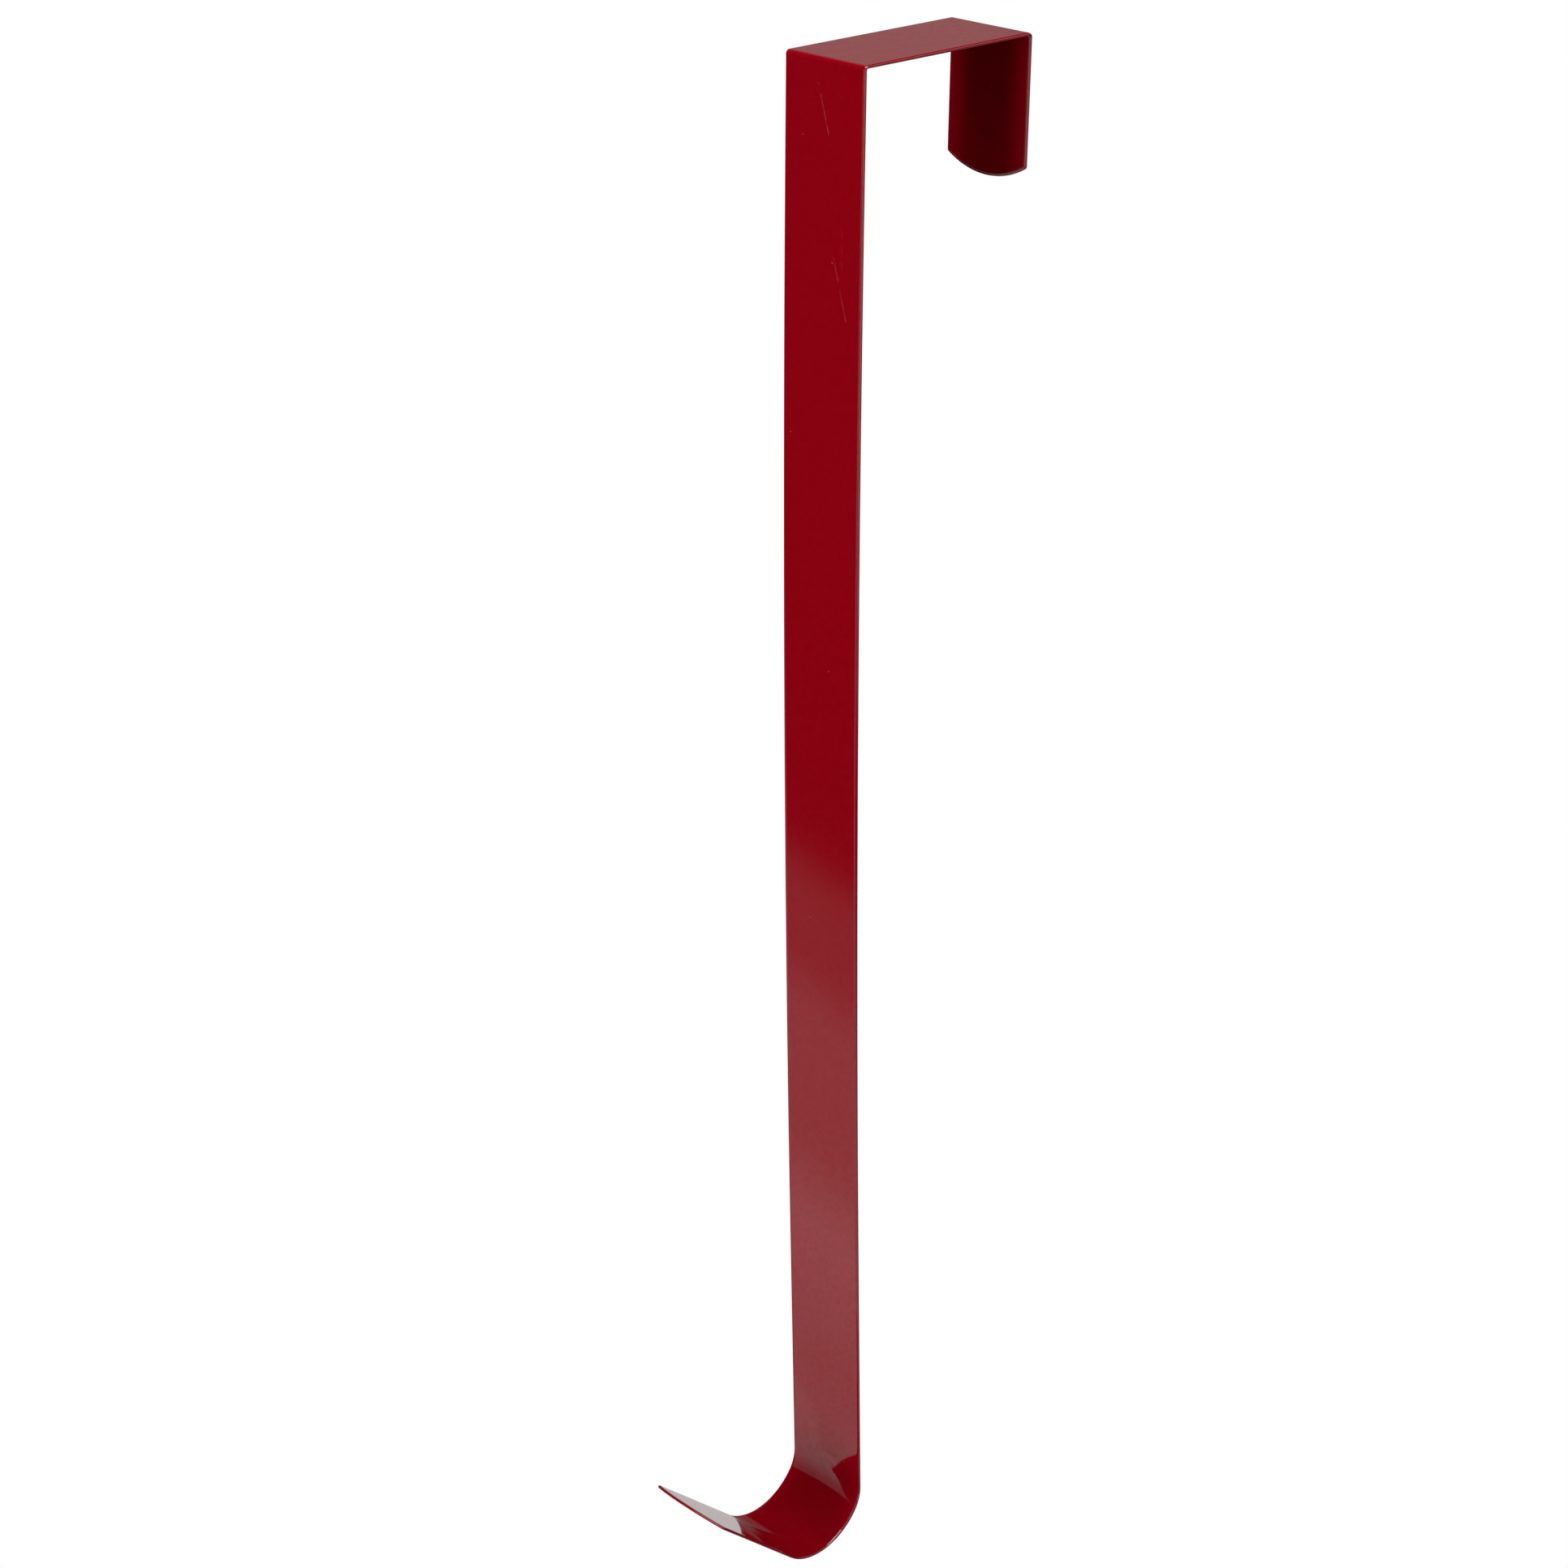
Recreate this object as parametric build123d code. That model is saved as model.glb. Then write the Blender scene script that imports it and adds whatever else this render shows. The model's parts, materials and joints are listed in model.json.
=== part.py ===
from build123d import *
import os
from math import degrees, radians, tan

# Wreath hanger: one flat strip of painted sheet steel, folded over the top edge of a door.
# Frame in millimetres: X across the strip, -Y towards the room, +Y behind the door, Z up.
# The origin is the middle of the bridge's underside, where the hanger sits on the door.

# The strip
strip_width = 25.4
strip_thickness = 0.7
edge_radius = 0.2  # the slit edges, rounded over by the paint
corner_radius = 0.8  # plan radius where an end arc meets a long edge
end_crown = 3.75  # how far the middle of an arched end stands past its corners

# The folds over the door
door_gap = 54.5  # from the back of the strap to the inside of the lip, at the bridge
fold_turn = 90.0  # degrees, the same at the front and at the rear
fold_inside_radius = 0.4
lip_length = 30.9  # straight run from the rear fold to the lip's corners

# The strap and its hook
strap_bow_length = 312.8  # the strap's upper run, which curves back to spring its foot against the door
strap_bow_radius = 8645.0
strap_foot_length = 74.8  # straight run from the bow to the hook
hook_shoulder_radius = 10.6  # inside radius of the hook's tighter start
hook_shoulder_turn = 38.0  # degrees
hook_inside_radius = 15.85
hook_turn = 96.0  # degrees, from the end of the shoulder to the tip
tip_length = 34.1  # straight run from the hook's bend to the tip's corners

# Side view, drawn with Y to the right and Z up: the line of the strip's door-side face.
# It leaves the bridge to the front, for the strap, the hook and the tip, and to the rear, for the lip.
forward = (-1, 0)
backward = (1, 0)
fold_setback = fold_inside_radius * tan(radians(fold_turn) / 2)
bridge_end = door_gap / 2 - fold_setback
bow_turn = degrees(strap_bow_length / strap_bow_radius)
shoulder_outside_radius = hook_shoulder_radius + strip_thickness
hook_outside_radius = hook_inside_radius + strip_thickness
bridge_line = Line((bridge_end, 0), (-bridge_end, 0))
front_fold = JernArc(bridge_line @ 1, forward, fold_inside_radius, fold_turn)
strap_bow = JernArc(front_fold @ 1, front_fold % 1, strap_bow_radius, bow_turn)
strap_foot = Line(strap_bow @ 1, strap_bow @ 1 + (strap_bow % 1) * strap_foot_length)
hook_shoulder = JernArc(strap_foot @ 1, strap_foot % 1, shoulder_outside_radius, -hook_shoulder_turn)
hook_bend = JernArc(hook_shoulder @ 1, hook_shoulder % 1, hook_outside_radius, -hook_turn)
tip_line = Line(hook_bend @ 1, hook_bend @ 1 + (hook_bend % 1) * tip_length)
rear_fold = JernArc(bridge_line @ 0, backward, fold_inside_radius, -fold_turn)
lip_line = Line(rear_fold @ 1, rear_fold @ 1 + (rear_fold % 1) * lip_length)
hook_lines = [hook_shoulder, hook_bend, tip_line]
door_side = Wire([bridge_line, front_fold, strap_bow, strap_foot, *hook_lines, rear_fold, lip_line])

# Followed the way the bridge is drawn, the other face lies one thickness to the right of that line.
section = make_face(door_side.offset_2d(strip_thickness, side=Side.RIGHT).edges())
strip = extrude(Plane.YZ * section, strip_width / 2, both=True)


def arched_end(run, turn_to_other_face):
    """The strip past the corners at the end of a run: an arc across the width, as thick as the strip."""
    half_width = strip_width / 2
    chord = Line((0, -half_width), (0, half_width))
    arc = ThreePointArc((0, half_width), (end_crown, 0), (0, -half_width))
    outward = run % 1
    other_face = outward.rotate(Axis.Z, turn_to_other_face)
    place = Plane(run @ 1, x_dir=outward, z_dir=other_face)
    return Plane.YZ * extrude(place * make_face([chord, arc]), strip_thickness, dir=other_face)


def broad_faces(solid):
    """The faces on both sides of the strip: each has an edge that runs straight across it."""
    return solid.faces().filter_by(lambda face: len(face.edges().filter_by(Axis.X)) > 0)


strip += arched_end(lip_line, turn_to_other_face=90)
strip += arched_end(tip_line, turn_to_other_face=-90)

# The four corners are rounded in plan, then every edge along the outline of both faces.
corners = strip.faces().filter_by(Axis.X).edges() - broad_faces(strip).edges()
strip = fillet(corners, corner_radius)
outlines = broad_faces(strip).edges().filter_by(Axis.X, reverse=True)
largest_edge_radius = 0.45 * strip_thickness
strip = fillet(outlines, min(edge_radius, largest_edge_radius))

os.makedirs("parts", exist_ok=True)
export_step(strip, "parts/hanger_strip.step")
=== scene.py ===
import json
from math import asin, cos, exp, pi, radians, sin, sqrt

import bmesh
import bpy
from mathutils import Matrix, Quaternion, Vector


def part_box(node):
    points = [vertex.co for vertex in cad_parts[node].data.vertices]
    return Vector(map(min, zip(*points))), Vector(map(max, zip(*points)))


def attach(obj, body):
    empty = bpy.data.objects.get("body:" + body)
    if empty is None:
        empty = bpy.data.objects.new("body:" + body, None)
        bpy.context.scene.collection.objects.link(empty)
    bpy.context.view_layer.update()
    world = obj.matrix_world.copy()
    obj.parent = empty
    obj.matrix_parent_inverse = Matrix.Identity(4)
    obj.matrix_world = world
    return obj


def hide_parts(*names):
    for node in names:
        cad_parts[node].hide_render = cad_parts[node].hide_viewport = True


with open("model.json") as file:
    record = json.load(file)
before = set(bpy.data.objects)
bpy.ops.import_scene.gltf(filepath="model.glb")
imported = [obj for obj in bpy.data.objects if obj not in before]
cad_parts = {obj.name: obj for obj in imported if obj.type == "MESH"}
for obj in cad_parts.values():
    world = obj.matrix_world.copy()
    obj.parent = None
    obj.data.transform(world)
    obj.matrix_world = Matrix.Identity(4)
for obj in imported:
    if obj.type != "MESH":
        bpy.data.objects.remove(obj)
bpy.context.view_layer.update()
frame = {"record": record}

scene = bpy.context.scene


# Camera
# It stands to the right of the strap's front, a little above the bridge, and looks down along the
# strap, with a lens long enough to fill the frame with the whole hanger.
camera_place = Vector((0.51183, -0.54423, 0.15229))
camera_aim = Vector((0.0, -0.03858, -0.17494))
camera_roll = radians(0.568)
camera = bpy.data.objects.new("camera", bpy.data.cameras.new("camera"))
camera.data.sensor_width = 36.0
camera.data.lens = 74.19
camera.location = camera_place
camera.rotation_mode = "QUATERNION"
upright = (camera_aim - camera_place).to_track_quat("-Z", "Y")
camera.rotation_quaternion = upright @ Quaternion((0, 0, 1), camera_roll)
scene.collection.objects.link(camera)
scene.camera = camera


# Red enamel
# A glossy coat of dark red enamel, sprayed on after the folding. It is a little uneven, as sprayed
# paint is, with specks of dust in it and a few hairline scratches down the upper strap.
def principled(material):
    """The material's own shader node."""
    return material.node_tree.nodes["Principled BSDF"]


def feed(tree, socket, term):
    """Gives a socket a plain value or another node's output."""
    if isinstance(term, bpy.types.NodeSocket):
        tree.links.new(term, socket)
    else:
        socket.default_value = term


def math_node(tree, operation, first, second=0.0):
    """One sum in a node tree."""
    node = tree.nodes.new("ShaderNodeMath")
    node.operation = operation
    for socket, term in zip(node.inputs, (first, second)):
        feed(tree, socket, term)
    return node.outputs[0]


def vector_node(tree, operation, first, second):
    """One sum of two vectors in a node tree."""
    node = tree.nodes.new("ShaderNodeVectorMath")
    node.operation = operation
    for socket, term in zip(node.inputs, (first, second)):
        feed(tree, socket, term)
    return node.outputs


def soft_step(tree, value, start, end, level=1.0, base=0.0):
    """From a base at the start to a level at the end, with an S curve between."""
    node = tree.nodes.new("ShaderNodeMapRange")
    node.interpolation_type = "SMOOTHSTEP"
    tree.links.new(value, node.inputs["Value"])
    node.inputs["From Min"].default_value = start
    node.inputs["From Max"].default_value = end
    node.inputs["To Min"].default_value = base
    node.inputs["To Max"].default_value = level
    return node.outputs["Result"]


def noise(tree, coordinates, grains, detail):
    """Noise about one half, with so many grains to the metre."""
    node = tree.nodes.new("ShaderNodeTexNoise")
    tree.links.new(coordinates, node.inputs["Vector"])
    node.inputs["Scale"].default_value = grains
    node.inputs["Detail"].default_value = detail
    return node.outputs["Fac"]


def mix_colour(tree, factor, first, second):
    """Two colours mixed by a factor."""
    node = tree.nodes.new("ShaderNodeMix")
    node.data_type = "RGBA"
    tree.links.new(factor, node.inputs["Factor"])
    feed(tree, node.inputs["A"], first)
    feed(tree, node.inputs["B"], second)
    return node.outputs["Result"]


# One scratch: a thin line between two places on the surface, broken where the tool skipped.
scratch_half_width = 0.00022
scratch_core = 0.00005
skips_to_the_metre = 420.0
hairline = bpy.data.node_groups.new("hairline_scratch", "ShaderNodeTree")
hairline_sockets = {"Start": "NodeSocketVector", "End": "NodeSocketVector", "Strength": "NodeSocketFloat"}
for name, socket_type in hairline_sockets.items():
    hairline.interface.new_socket(name, in_out="INPUT", socket_type=socket_type)
hairline.interface.new_socket("Mask", in_out="OUTPUT", socket_type="NodeSocketFloat")
asked = hairline.nodes.new("NodeGroupInput").outputs
here = hairline.nodes.new("ShaderNodeTexCoord").outputs["Object"]
reach = vector_node(hairline, "SUBTRACT", asked["End"], asked["Start"])["Vector"]
from_start = vector_node(hairline, "SUBTRACT", here, asked["Start"])["Vector"]
travelled = vector_node(hairline, "DOT_PRODUCT", from_start, reach)["Value"]
reach_squared = vector_node(hairline, "DOT_PRODUCT", reach, reach)["Value"]
share = math_node(hairline, "DIVIDE", travelled, reach_squared)
share = math_node(hairline, "MINIMUM", math_node(hairline, "MAXIMUM", share, 0.0), 1.0)
scaled = hairline.nodes.new("ShaderNodeVectorMath")
scaled.operation = "SCALE"
hairline.links.new(reach, scaled.inputs[0])
hairline.links.new(share, scaled.inputs["Scale"])
away = vector_node(hairline, "DISTANCE", from_start, scaled.outputs["Vector"])["Value"]
line = soft_step(hairline, away, scratch_half_width, scratch_core)
skips = soft_step(hairline, noise(hairline, here, skips_to_the_metre, detail=2.0), 0.36, 0.56)
broken_line = math_node(hairline, "MULTIPLY", line, skips)
drawn = math_node(hairline, "MULTIPLY", broken_line, asked["Strength"])
hairline.links.new(drawn, hairline.nodes.new("NodeGroupOutput").inputs["Mask"])

# The coat itself. Each scratch is given by its two ends and its strength.
paint_dark = (0.195, 0.0005, 0.0044, 1)
paint_light = (0.207, 0.0008, 0.0052, 1)
scratch_paint = (0.36, 0.08, 0.09, 1)
dust_paint = (0.4, 0.2, 0.2, 1)
scratches = [
    ((-0.00192, -0.02795, -0.0052), (0.00249, -0.02793, -0.0196), 0.24),
    ((0.00358, -0.02784, -0.04461), (0.00775, -0.02776, -0.0587), 0.2),
    ((0.00618, -0.02788, -0.03671), (0.00624, -0.02783, -0.04674), 0.1),
]
clouds_to_the_metre = 700.0
dust_cells_to_the_metre = 300.0
flow_to_the_metre = 800.0
peel_to_the_metre = 650.0
peel_height = 0.0000015
ripples_to_the_metre = 60.0
ripple_height = 0.00001
red_enamel = bpy.data.materials.new("red_enamel")
red_enamel.use_nodes = True
enamel = red_enamel.node_tree
enamel_shader = principled(red_enamel)
enamel_shader.inputs["IOR"].default_value = 1.5
enamel_shader.inputs["Specular IOR Level"].default_value = 0.25
enamel_shader.inputs["Coat Roughness"].default_value = 0.05
surface = enamel.nodes.new("ShaderNodeTexCoord").outputs["Object"]

cloud = soft_step(enamel, noise(enamel, surface, clouds_to_the_metre, detail=3.0), 0.25, 0.75)
paint = mix_colour(enamel, cloud, paint_dark, paint_light)
scratched = None
for scratch_start, scratch_end, strength in scratches:
    scratch = enamel.nodes.new("ShaderNodeGroup")
    scratch.node_tree = hairline
    scratch.inputs["Start"].default_value = scratch_start
    scratch.inputs["End"].default_value = scratch_end
    scratch.inputs["Strength"].default_value = strength
    mask = scratch.outputs["Mask"]
    scratched = mask if scratched is None else math_node(enamel, "MAXIMUM", scratched, mask)
paint = mix_colour(enamel, scratched, paint, scratch_paint)
dust = enamel.nodes.new("ShaderNodeTexVoronoi")
enamel.links.new(surface, dust.inputs["Vector"])
dust.inputs["Scale"].default_value = dust_cells_to_the_metre
grain = enamel.nodes.new("ShaderNodeSeparateColor")
enamel.links.new(dust.outputs["Color"], grain.inputs[0])
speck = soft_step(enamel, dust.outputs["Distance"], 0.06, 0.03, level=0.35)
speck = math_node(enamel, "MULTIPLY", speck, soft_step(enamel, grain.outputs[0], 0.85, 0.9))
paint = mix_colour(enamel, speck, paint, dust_paint)
enamel.links.new(paint, enamel_shader.inputs["Base Color"])

flow = noise(enamel, surface, flow_to_the_metre, detail=5.0)
coat = soft_step(enamel, flow, 0.25, 0.75, level=0.65, base=0.35)
enamel.links.new(coat, enamel_shader.inputs["Coat Weight"])
plain_roughness = soft_step(enamel, cloud, 0.0, 1.0, level=0.08, base=0.05)
dull = math_node(enamel, "ADD", plain_roughness, scratched)
enamel.links.new(math_node(enamel, "ADD", dull, speck), enamel_shader.inputs["Roughness"])
peel = enamel.nodes.new("ShaderNodeBump")
peel.inputs["Distance"].default_value = peel_height
enamel.links.new(noise(enamel, surface, peel_to_the_metre, detail=2.0), peel.inputs["Height"])
ripple = enamel.nodes.new("ShaderNodeBump")
ripple.inputs["Distance"].default_value = ripple_height
enamel.links.new(noise(enamel, surface, ripples_to_the_metre, detail=1.0), ripple.inputs["Height"])
enamel.links.new(ripple.outputs["Normal"], peel.inputs["Normal"])
enamel.links.new(peel.outputs["Normal"], enamel_shader.inputs["Normal"])


# The strip
# One strip of sheet steel, cut flat with an arch at each end and then folded: the lip and the strap
# down from the bridge, the strap bowed back towards the door, and its foot turned up into the hook.
# The coat of enamel rounds its front edges over.
node_low, node_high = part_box("hanger_strip")
mounts = {mount["name"]: Vector(mount["pos_m"]) for mount in frame["record"]["mounts"]}
strip_width = node_high.x - node_low.x
strip_thickness = node_high.z - mounts["door_top_seat"].z
door_gap = 2 * mounts["lip_inside"].y
edge_reach = 0.00075
edge_depth = 0.0003
back_edge_radius = 0.0002
corner_radius = 0.0008
end_crown = 0.00375
fold_inside_radius = 0.0004
fold_turn = radians(90)
lip_length = 0.0309
strap_bow_length = 0.3128
strap_bow_radius = 8.645
strap_foot_length = 0.07478
hook_shoulder_radius = 0.0106
hook_shoulder_turn = radians(38)
hook_inside_radius = 0.01585
hook_turn = radians(96)
tip_length = 0.03409

# Lengths of the blank's runs on the line through the middle of its thickness, from lip to tip,
# each with the number of rows that its bend needs.
half_thickness = strip_thickness / 2
bridge_length = door_gap - 2 * fold_inside_radius
fold_arc = (fold_inside_radius + half_thickness) * fold_turn
bow_arc = (strap_bow_radius + half_thickness) * strap_bow_length / strap_bow_radius
shoulder_arc = (hook_shoulder_radius + half_thickness) * hook_shoulder_turn
hook_arc = (hook_inside_radius + half_thickness) * hook_turn
runs = [
    (lip_length, 6),
    (fold_arc, 14),
    (bridge_length, 10),
    (fold_arc, 14),
    (bow_arc, 52),
    (strap_foot_length, 40),
    (shoulder_arc, 20),
    (hook_arc, 44),
    (tip_length, 7),
]

# An end's plan, drawn with the outward way up: a wide arc between two small rounded corners.
# The flat faces stop an edge's reach inside that outline, where the rounded edge begins.
half_width = strip_width / 2
end_radius = (half_width ** 2 + end_crown ** 2) / (2 * end_crown)
end_centre = end_crown - end_radius
corner_x = half_width - corner_radius
corner_y = end_centre + sqrt((end_radius - corner_radius) ** 2 - corner_x ** 2)
end_sweep = asin(corner_x / (end_radius - corner_radius))
corner_rows = 6
column_count = 26
edge_column = 0.985
columns = [-1.0] + [edge_column * (2 * i / column_count - 1) for i in range(column_count + 1)] + [1.0]


def end_row(step):
    """One row across an end, from the last straight row at step 0 to the arc at step 1.
    Each point is its place and the way out of the outline there."""
    turn = pi / 2 + (end_sweep - pi / 2) * step
    inside_corner = corner_radius - edge_reach
    inside_end = end_radius - edge_reach
    row_half = corner_x + inside_corner * sin(turn)
    row_y = corner_y + inside_corner * cos(turn)
    arc_half = inside_end * sin(end_sweep)
    arc_y = inside_end * cos(end_sweep)
    row = []
    for column in columns:
        angle = end_sweep * column
        x = row_half * inside_end * sin(angle) / arc_half
        y = row_y + step * (inside_end * cos(angle) - arc_y)
        way = turn * column if abs(column) == 1 else angle
        row.append((x, y, sin(way), cos(way)))
    return row


# The blank's rows from the lip's arc to the tip's. A widely spaced run has a close row beside each
# of its bends, so that the bend's smooth shading doesn't spread into the flat. The last run's last
# row is left out, because the tip's end begins with it.
lip_end = sum(length for length, count in runs[:2]) + bridge_length / 2
tip_end = -(sum(length for length, count in runs[3:]) + bridge_length / 2)
end_rows = [end_row(step / corner_rows) for step in range(corner_rows + 1)]
rows = [[(x, lip_end + y, out_x, out_y) for x, y, out_x, out_y in row] for row in reversed(end_rows)]
station = lip_end
close_row = 0.00015
for run, (length, count) in enumerate(runs):
    steps = [length * step / count for step in range(1, count + 1)]
    widely_spaced = length / count > 4 * close_row
    if widely_spaced and run > 0:
        steps.insert(0, close_row)
    if widely_spaced and run < len(runs) - 1:
        steps.insert(-1, length - close_row)
    for step in steps:
        rows.append([(x, station - step, out_x, 0.0) for x, y, out_x, out_y in end_rows[0]])
    station -= length
del rows[-1]
rows += [[(x, tip_end - y, out_x, -out_y) for x, y, out_x, out_y in row] for row in end_rows]

# Beside the hook the sheet isn't quite flat: it is a little hollow across, deepest just left of its
# middle, and it swells into the bend. Both fade out up the strap and round the hook.
shoulder_start_y = tip_end + tip_length + hook_arc + shoulder_arc
hollow_depth = 0.00065
hollow_x = -0.0012
hollow_above_bend = 0.0057
hollow_y = shoulder_start_y + hollow_above_bend
hollow_reach_up = 0.0178
hollow_reach_down = 0.0105
swell_height = 0.0003
swell_into_bend = 0.0062
swell_y = shoulder_start_y - swell_into_bend
swell_reach = 0.0062


def unevenness(x, y):
    """How far the sheet stands off its flat at one place on the blank."""
    side = half_width - hollow_x if x > hollow_x else half_width + hollow_x
    reach = hollow_reach_up if y > hollow_y else hollow_reach_down
    hollow = hollow_depth * (1 - ((x - hollow_x) / side) ** 2) * exp(-((y - hollow_y) / reach) ** 2)
    swell = swell_height * (1 - (x / half_width) ** 2) * exp(-((y - swell_y) / swell_reach) ** 2)
    return swell - hollow


# The two flat faces, and round them the rim: a wide flat curve over the front edges, a plain side
# and a small round on the back edges, each ring given by how far out and how high it lies.
blank = bmesh.new()
edge_steps = 6
front_edge = []
back_edge = []
for step in range(1, edge_steps + 1):
    angle = pi / 2 * step / edge_steps
    front_edge.append((edge_reach * sin(angle), half_thickness - edge_depth * (1 - cos(angle))))
    back_out = edge_reach - back_edge_radius * sin(angle)
    back_edge.append((back_out, back_edge_radius * cos(angle) - half_thickness))
back_edge.insert(0, (edge_reach, back_edge_radius - half_thickness))


def face_row(row, height):
    """The points of one row of a face, with the sheet's unevenness."""
    return [blank.verts.new((x, y, height + unevenness(x, y))) for x, y, out_x, out_y in row]


faces_up = []
faces_down = []
for row in rows:
    faces_up.append(face_row(row, half_thickness))
    faces_down.append(face_row(row, -half_thickness))
last_row = len(rows) - 1
last_column = len(columns) - 1
for i in range(last_row):
    for j in range(last_column):
        for side in (faces_up, faces_down):
            blank.faces.new((side[i][j], side[i][j + 1], side[i + 1][j + 1], side[i + 1][j]))
rim = [(0, j) for j in range(last_column)]
rim += [(i, last_column) for i in range(last_row)]
rim += [(last_row, j) for j in range(last_column, 0, -1)]
rim += [(i, 0) for i in range(last_row, 0, -1)]
rim_rings = [[faces_up[i][j] for i, j in rim]]
for out, height in front_edge + back_edge:
    ring = []
    for i, j in rim:
        x, y, out_x, out_y = rows[i][j]
        ring_x = x + out * out_x
        ring_y = y + out * out_y
        ring.append(blank.verts.new((ring_x, ring_y, height + unevenness(ring_x, ring_y))))
    rim_rings.append(ring)
rim_rings.append([faces_down[i][j] for i, j in rim])
for upper, lower in zip(rim_rings, rim_rings[1:]):
    for k in range(len(rim)):
        after = (k + 1) % len(rim)
        blank.faces.new((upper[k], lower[k], lower[after], upper[after]))
bmesh.ops.recalc_face_normals(blank, faces=blank.faces)
for face in blank.faces:
    face.smooth = True
blank_mesh = bpy.data.meshes.new("hanger_blank")
blank.to_mesh(blank_mesh)
blank.free()
strip = bpy.data.objects.new("painted_strip", blank_mesh)
scene.collection.objects.link(strip)


def new_tree(name, sizes):
    """A Geometry Nodes tree that takes a mesh and the named sizes and gives a mesh."""
    tree = bpy.data.node_groups.new(name, "GeometryNodeTree")
    tree.interface.new_socket("Geometry", in_out="INPUT", socket_type="NodeSocketGeometry")
    for size in sizes:
        tree.interface.new_socket(size, in_out="INPUT", socket_type="NodeSocketFloat")
    tree.interface.new_socket("Geometry", in_out="OUTPUT", socket_type="NodeSocketGeometry")
    return tree, tree.nodes.new("NodeGroupInput").outputs, tree.nodes.new("NodeGroupOutput").inputs


# One bend: what lies past its start is rolled round its radius, and what lies past its end goes on
# straight. Way is 1 behind the bridge and -1 in front. Towards is 1 for a bend to the door's side.
bend, given, result = new_tree("one_bend", ["Way", "Towards", "Start", "Radius", "Turn"])
position = bend.nodes.new("ShaderNodeSeparateXYZ")
bend.links.new(bend.nodes.new("GeometryNodeInputPosition").outputs[0], position.inputs[0])
distance = math_node(bend, "MULTIPLY", position.outputs["Y"], given["Way"])
height = math_node(bend, "MULTIPLY", position.outputs["Z"], given["Towards"])
past_start = math_node(bend, "SUBTRACT", distance, given["Start"])
unrolled = math_node(bend, "DIVIDE", past_start, given["Radius"])
turned = math_node(bend, "MINIMUM", math_node(bend, "MAXIMUM", unrolled, 0.0), given["Turn"])
straight = math_node(bend, "SUBTRACT", past_start, math_node(bend, "MULTIPLY", turned, given["Radius"]))
arm = math_node(bend, "ADD", given["Radius"], height)
sine = math_node(bend, "SINE", turned)
cosine = math_node(bend, "COSINE", turned)
along_arc = math_node(bend, "ADD", given["Start"], math_node(bend, "MULTIPLY", arm, sine))
new_distance = math_node(bend, "ADD", along_arc, math_node(bend, "MULTIPLY", straight, cosine))
above_centre = math_node(bend, "SUBTRACT", math_node(bend, "MULTIPLY", arm, cosine), given["Radius"])
new_height = math_node(bend, "SUBTRACT", above_centre, math_node(bend, "MULTIPLY", straight, sine))
moved = bend.nodes.new("ShaderNodeCombineXYZ")
bend.links.new(position.outputs["X"], moved.inputs["X"])
bend.links.new(math_node(bend, "MULTIPLY", new_distance, given["Way"]), moved.inputs["Y"])
bend.links.new(math_node(bend, "MULTIPLY", new_height, given["Towards"]), moved.inputs["Z"])
bent = bend.nodes.new("GeometryNodeSetPosition")
bend.links.new(given["Geometry"], bent.inputs["Geometry"])
bend.links.new(moved.outputs[0], bent.inputs["Position"])
bend.links.new(bent.outputs[0], result["Geometry"])

# The whole folding, from the hook inwards to the bridge, so that each bend still finds its start flat.
fold_sizes = {
    "Thickness": strip_thickness,
    "Bridge Length": bridge_length,
    "Fold Inside Radius": fold_inside_radius,
    "Fold Turn": fold_turn,
    "Strap Bow Length": strap_bow_length,
    "Strap Bow Radius": strap_bow_radius,
    "Strap Foot Length": strap_foot_length,
    "Hook Shoulder Radius": hook_shoulder_radius,
    "Hook Shoulder Turn": hook_shoulder_turn,
    "Hook Inside Radius": hook_inside_radius,
    "Hook Turn": hook_turn,
}
folding, size, folded = new_tree("fold_the_strip", fold_sizes)
half = math_node(folding, "MULTIPLY", size["Thickness"], 0.5)
fold_radius = math_node(folding, "ADD", size["Fold Inside Radius"], half)
bow_radius = math_node(folding, "ADD", size["Strap Bow Radius"], half)
shoulder_radius = math_node(folding, "ADD", size["Hook Shoulder Radius"], half)
hook_radius = math_node(folding, "ADD", size["Hook Inside Radius"], half)
bow_turn = math_node(folding, "DIVIDE", size["Strap Bow Length"], size["Strap Bow Radius"])
fold_start = math_node(folding, "MULTIPLY", size["Bridge Length"], 0.5)
fold_span = math_node(folding, "MULTIPLY", fold_radius, size["Fold Turn"])
strap_start = math_node(folding, "ADD", fold_start, fold_span)
foot_start = math_node(folding, "ADD", strap_start, math_node(folding, "MULTIPLY", bow_radius, bow_turn))
shoulder_start = math_node(folding, "ADD", foot_start, size["Strap Foot Length"])
shoulder_span = math_node(folding, "MULTIPLY", shoulder_radius, size["Hook Shoulder Turn"])
hook_start = math_node(folding, "ADD", shoulder_start, shoulder_span)
in_front = -1.0
behind = 1.0
to_door = 1.0
from_door = -1.0
shape = size["Geometry"]
for way, towards, start, radius, turn in (
    (in_front, from_door, hook_start, hook_radius, size["Hook Turn"]),
    (in_front, from_door, shoulder_start, shoulder_radius, size["Hook Shoulder Turn"]),
    (in_front, to_door, strap_start, bow_radius, bow_turn),
    (in_front, to_door, fold_start, fold_radius, size["Fold Turn"]),
    (behind, to_door, fold_start, fold_radius, size["Fold Turn"]),
):
    one_bend = folding.nodes.new("GeometryNodeGroup")
    one_bend.node_tree = bend
    folding.links.new(shape, one_bend.inputs["Geometry"])
    one_bend.inputs["Way"].default_value = way
    one_bend.inputs["Towards"].default_value = towards
    for name, value in (("Start", start), ("Radius", radius), ("Turn", turn)):
        folding.links.new(value, one_bend.inputs[name])
    shape = one_bend.outputs["Geometry"]
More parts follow.
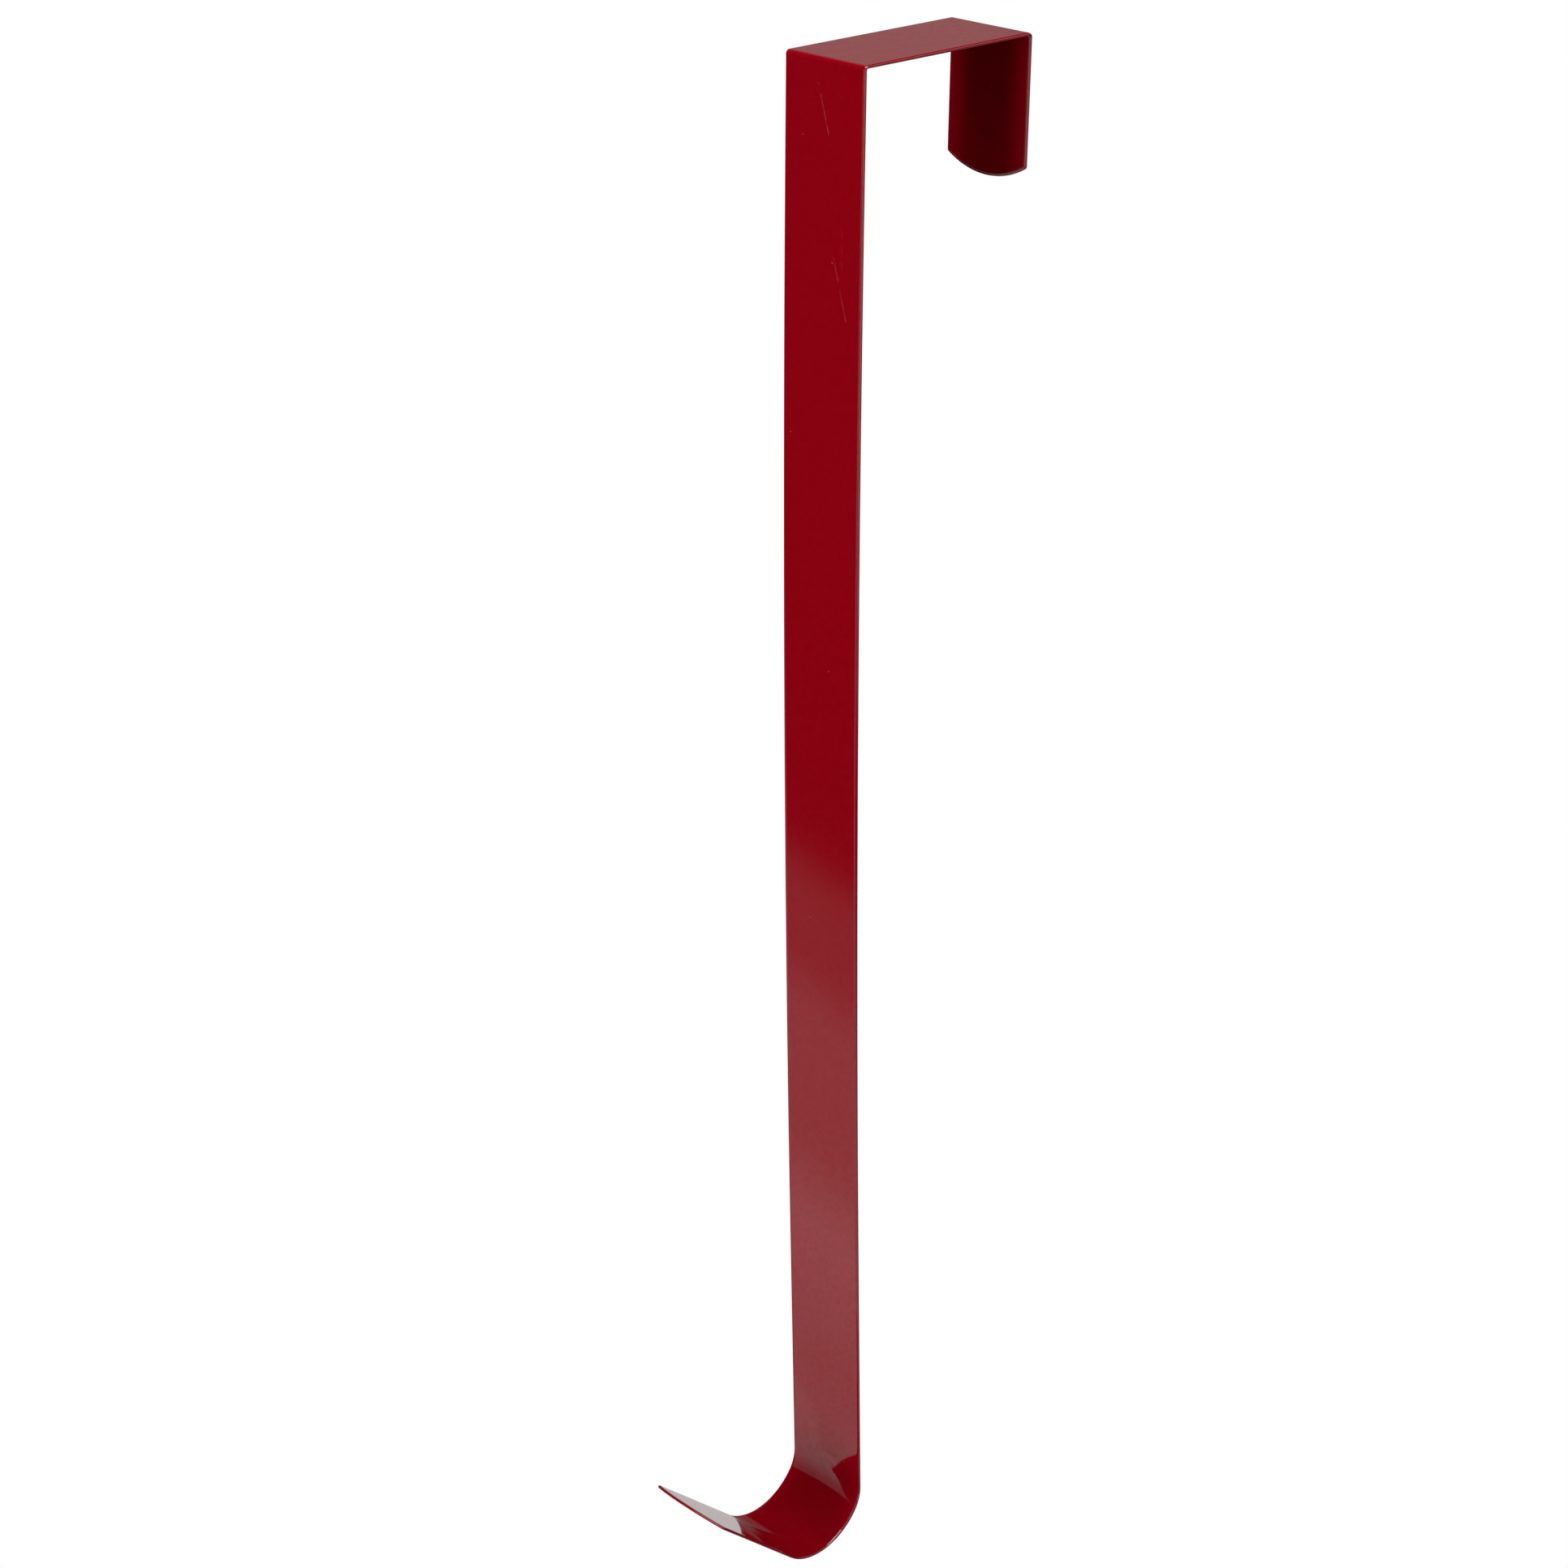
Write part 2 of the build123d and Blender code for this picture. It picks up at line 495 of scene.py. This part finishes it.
seated = folding.nodes.new("GeometryNodeTransform")
folding.links.new(shape, seated.inputs["Geometry"])
lift = folding.nodes.new("ShaderNodeCombineXYZ")
folding.links.new(half, lift.inputs["Z"])
folding.links.new(lift.outputs[0], seated.inputs["Translation"])
realized = folding.nodes.new("GeometryNodeRealizeInstances")
folding.links.new(seated.outputs[0], realized.inputs[0])
painted = folding.nodes.new("GeometryNodeSetMaterial")
painted.inputs["Material"].default_value = red_enamel
folding.links.new(realized.outputs[0], painted.inputs["Geometry"])
folding.links.new(painted.outputs[0], folded["Geometry"])

# The tree folds the blank once, and the folded mesh becomes the strip's own.
press = strip.modifiers.new("fold_the_strip", "NODES")
press.node_group = folding
for socket in folding.interface.items_tree:
    if socket.in_out == "INPUT" and socket.name in fold_sizes:
        press[socket.identifier] = fold_sizes[socket.name]
evaluated = strip.evaluated_get(bpy.context.evaluated_depsgraph_get())
folded_mesh = bpy.data.meshes.new_from_object(evaluated)
strip.modifiers.remove(press)
strip.data = folded_mesh
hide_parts("hanger_strip")
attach(strip, "root")


# Floor
# A plain studio floor of matt grey paint, a hand's breadth under the hook, which hangs clear of it.
# The camera sees it as white as the backdrop, and the gloss doesn't mirror it.
def mix_shaders(tree, factor, first, second):
    """Two shaders mixed by a factor."""
    node = tree.nodes.new("ShaderNodeMixShader")
    for socket, output in zip(node.inputs, (factor, first, second)):
        tree.links.new(output, socket)
    return node.outputs[0]


floor_drop = 0.1
floor_half = 6.0
floor_grey = (0.45, 0.45, 0.45, 1)
floor_z = node_low.z - floor_drop
floor_mesh = bpy.data.meshes.new("floor")
floor_corners = [
    (-floor_half, -floor_half, floor_z),
    (floor_half, -floor_half, floor_z),
    (floor_half, floor_half, floor_z),
    (-floor_half, floor_half, floor_z),
]
floor_mesh.from_pydata(floor_corners, [], [(0, 1, 2, 3)])
floor = bpy.data.objects.new("floor", floor_mesh)
floor_paint = bpy.data.materials.new("floor_paint")
floor_paint.use_nodes = True
floor_shader = principled(floor_paint)
floor_shader.inputs["Base Color"].default_value = floor_grey
floor_shader.inputs["Roughness"].default_value = 0.9
floor_tree = floor_paint.node_tree
floor_glow = floor_tree.nodes.new("ShaderNodeEmission")
floor_glow.inputs["Strength"].default_value = 1.0
camera_ray = floor_tree.nodes.new("ShaderNodeLightPath").outputs["Is Camera Ray"]
floor_look = mix_shaders(floor_tree, camera_ray, floor_shader.outputs[0], floor_glow.outputs[0])
floor_tree.links.new(floor_look, floor_tree.nodes["Material Output"].inputs["Surface"])
floor_mesh.materials.append(floor_paint)
floor.visible_glossy = False
scene.collection.objects.link(floor)


# Studio light
# Four softboxes in a dim room. The front and rear ones light the paint but don't show in the gloss,
# which mirrors the other two and the patches of light below. The camera sees a white backdrop.
hanger_middle = Vector((0, 0, -0.2))


def softbox(name, place, width, height, power, in_gloss):
    """A rectangular soft light turned to the hanger's middle, which may show in the gloss."""
    light = bpy.data.lights.new(name, "AREA")
    light.shape = "RECTANGLE"
    light.size = width
    light.size_y = height
    light.energy = power
    lamp = bpy.data.objects.new(name, light)
    lamp.location = place
    lamp.rotation_mode = "QUATERNION"
    lamp.rotation_quaternion = (hanger_middle - Vector(place)).to_track_quat("-Z", "Y")
    lamp.visible_camera = False
    lamp.visible_glossy = in_gloss
    scene.collection.objects.link(lamp)


softbox("front_softbox", (0, -0.95, -0.13), width=0.25, height=0.5, power=7.55, in_gloss=False)
softbox("top_softbox", (0, -0.1, 0.8), width=0.8, height=0.8, power=10.4, in_gloss=True)
softbox("right_softbox", (0.6, 0.15, 0.35), width=0.3, height=0.4, power=2.6, in_gloss=True)
softbox("rear_softbox", (-0.2, 0.95, -0.1), width=0.3, height=0.5, power=4, in_gloss=False)

world = bpy.data.worlds.new("studio")
scene.world = world
world.use_nodes = True
room = world.node_tree
room.nodes.clear()
direction = room.nodes.new("ShaderNodeTexCoord").outputs["Generated"]


def pointing(way):
    """The dot product of a ray's direction with a way, greatest straight along the way."""
    return vector_node(room, "DOT_PRODUCT", direction, way)["Value"]


def fade(value, start, end, level=1.0, base=0.0):
    """A soft step in the room's tree."""
    return soft_step(room, value, start, end, level, base)


def product(*terms):
    """Several values multiplied in the room's tree."""
    total = terms[0]
    for term in terms[1:]:
        total = math_node(room, "MULTIPLY", total, term)
    return total


def greatest(*terms):
    """The greatest of several values in the room's tree."""
    top = terms[0]
    for term in terms[1:]:
        top = math_node(room, "MAXIMUM", top, term)
    return top


# The ways by which the patches are placed.
to_right = pointing((1, 0, 0))
to_front = pointing((0, -1, 0))
rise = pointing((0, 0, 1))
table_angle = radians(43.5)
table_dip = 0.26
to_table = pointing((cos(table_angle), -sin(table_angle), -table_dip))

# The paper sweep, which the lower strap, the foot and the tip mirror: soft bands below a slanting
# edge. Each stop is how far below the edge a shade lies, and how bright it is there.
sweep_way = (-0.5, 0.53, -1)
sweep_edge = 0.44
sweep_stops = [
    (0.0115, 0.0),
    (0.0235, 0.28),
    (0.0495, 0.235),
    (0.065, 0.56),
    (0.108, 0.45),
    (0.135, 0.88),
    (0.148, 0.68),
    (0.19, 0.53),
    (0.3, 0.53),
    (0.5, 0.62),
]
below_edge = math_node(room, "SUBTRACT", pointing(sweep_way), sweep_edge)
sweep = room.nodes.new("ShaderNodeValToRGB")
room.links.new(below_edge, sweep.inputs[0])
while len(sweep.color_ramp.elements) < len(sweep_stops):
    sweep.color_ramp.elements.new(0.5)
for stop, (place, level) in zip(sweep.color_ramp.elements, sweep_stops):
    stop.position = place
    stop.color = (level, level, level, 1)

# On the left towards the table, and low down, the bands give way to one plain shade. The sweep is
# brighter at the table and dimmer where it rises.
sweep_plain = 0.54
sweep_far = greatest(fade(to_table, 0.15, 0.125), fade(to_right, -0.47, -0.44))
sweep_shades = product(sweep_far, fade(rise, -0.622, -0.598))
sweep_shade = math_node(room, "SUBTRACT", sweep.outputs["Color"], sweep_plain)
sweep_level = math_node(room, "ADD", product(sweep_shade, sweep_shades), sweep_plain)
sweep_left = greatest(fade(to_front, 0.3, 0.38), fade(to_right, -0.62, -0.6))
sweep_side = product(sweep_left, fade(to_right, 0.3, 0.05))
sweep_bright = fade(to_table, 0.1, 0.2, level=1.4, base=1.0)
sweep_fade = fade(rise, -0.34, -0.44, base=0.25)
paper = product(sweep_level, sweep_side, sweep_bright, sweep_fade)

# The table, brighter the lower it lies, which the strap's right rim and the bend under the foot mirror.
table_end_angle = radians(30)
to_table_end = pointing((-cos(table_end_angle), sin(table_end_angle), 0))
table_side = product(fade(to_table, 0.126, 0.146), fade(to_table_end, 0.0, 0.03))
table_level = fade(rise, 0.3, -0.4, level=0.72, base=0.25)
table_rise = product(table_level, fade(rise, 0.15, 0.1), fade(rise, -0.62, -0.6))
table = product(table_side, table_rise)

# A dimmer shelf in front, which the end of that bend mirrors.
shelf_rise = product(fade(rise, -0.2, -0.1), fade(rise, 0.16, 0.1, level=0.42))
shelf = product(fade(to_front, 0.76, 0.8), shelf_rise)

# The wall behind on the left, which the bridge mirrors.
wall_side = product(fade(to_right, -0.6, -0.66), fade(to_front, 0.0, -0.2))
wall = product(wall_side, fade(rise, -0.05, 0.05, level=0.215))

# A bright patch low in front, which the right rims mirror low down.
near_side = product(fade(to_right, -0.4, -0.34), fade(to_front, -0.1, 0.2))
near_floor = product(near_side, fade(rise, -0.45, -0.55, level=0.8))

# A bright card in front on the right, which the upper strap's right rim mirrors.
card_side = product(fade(to_right, -0.45, 0.0), fade(to_front, -0.1, 0.2))
card = product(card_side, fade(rise, -0.45, -0.32), fade(rise, 0.0, -0.06, level=1.4))

# The window high up, which the edges that face up mirror.
window = product(fade(to_right, -0.35, -0.1), fade(rise, 0.05, 0.25, level=0.8))

# What each kind of ray sees of the room.
mirrored = greatest(paper, table, shelf, wall, near_floor, card, window)
ray_kind = room.nodes.new("ShaderNodeLightPath")


def background(colour):
    """One look of the room, for one kind of ray."""
    node = room.nodes.new("ShaderNodeBackground")
    feed(room, node.inputs["Color"], colour)
    return node.outputs[0]


dim_room = background(fade(rise, -0.1, 0.1, level=0.16, base=0.01))
mirrored_room = background(mirrored)
white_backdrop = background((1, 1, 1, 1))
seen = mix_shaders(room, ray_kind.outputs["Is Glossy Ray"], dim_room, mirrored_room)
seen = mix_shaders(room, ray_kind.outputs["Is Camera Ray"], seen, white_backdrop)
room.links.new(seen, room.nodes.new("ShaderNodeOutputWorld").inputs["Surface"])
scene.view_settings.view_transform = "Standard"
